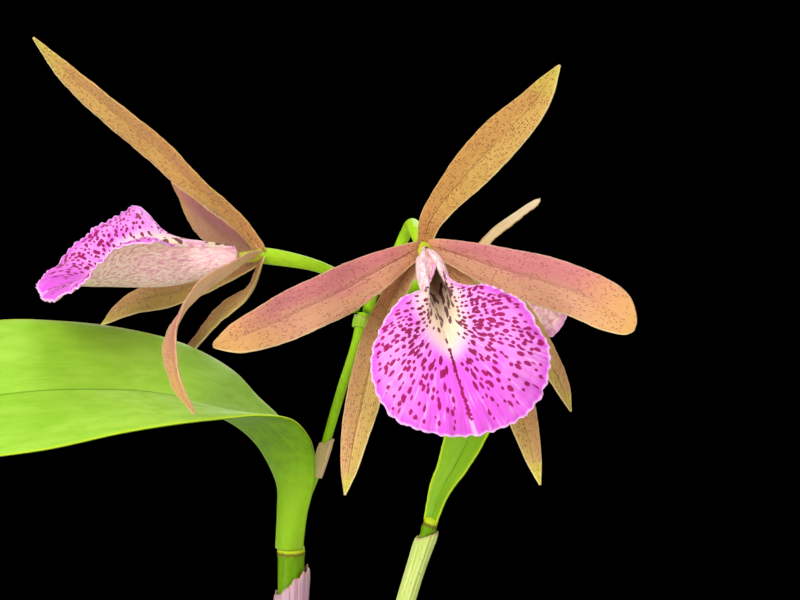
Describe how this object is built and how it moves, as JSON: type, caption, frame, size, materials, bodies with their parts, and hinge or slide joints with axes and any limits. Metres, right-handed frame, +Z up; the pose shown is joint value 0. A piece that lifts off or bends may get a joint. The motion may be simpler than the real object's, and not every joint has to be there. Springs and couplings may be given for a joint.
{
  "type": "potted orchid",
  "caption": "Flowering brassocattleya orchid in a plain tapered pot of bark: slim canes, arching strap leaves, and a stem of star-shaped blooms with round spotted lips.",
  "frame": {"origin": "middle of the pot's flat base", "axes": "+Z up; -Y is the side the front flower faces; +X to the right as seen from there"},
  "size_m": [0.1876, 0.1557, 0.312],
  "materials": {
    "terracotta": "matte",
    "bark": "matte",
    "root": "matte",
    "cane": "satin",
    "dry_sheath": "matte",
    "green_sheath": "matte",
    "leaf": "satin",
    "stem": "satin",
    "spathe": "matte",
    "sepal": "matte",
    "petal": "matte",
    "lip": "matte",
    "column": "matte"
  },
  "bodies": {
    "root": {"pot": "terracotta", "bark_medium": "bark", "rhizome_with_roots": "root", "left_cane": "cane", "left_cane_sheath": "dry_sheath", "left_leaf": "leaf", "second_cane": "cane", "second_cane_sheath": "green_sheath", "second_leaf": "leaf", "old_cane": "cane", "old_cane_sheath": "dry_sheath", "flower_stem": "stem", "flower_stem_spathe": "spathe", "flower_stem_bract": "spathe", "front_dorsal_sepal": "sepal", "front_petal_left": "petal", "front_petal_right": "petal", "front_sepal_left": "sepal", "front_sepal_right": "sepal", "front_lip": "lip", "front_column": "column", "front_stalk": "stem", "left_dorsal_sepal": "sepal", "left_petal_left": "petal", "left_petal_right": "petal", "left_sepal_left": "sepal", "left_sepal_right": "sepal", "left_lip": "lip", "left_column": "column", "left_stalk": "stem", "third_dorsal_sepal": "sepal", "third_petal_left": "petal", "third_petal_right": "petal", "third_sepal_left": "sepal", "third_sepal_right": "sepal", "third_lip": "lip", "third_column": "column", "third_stalk": "stem"}
  },
  "joints": []
}
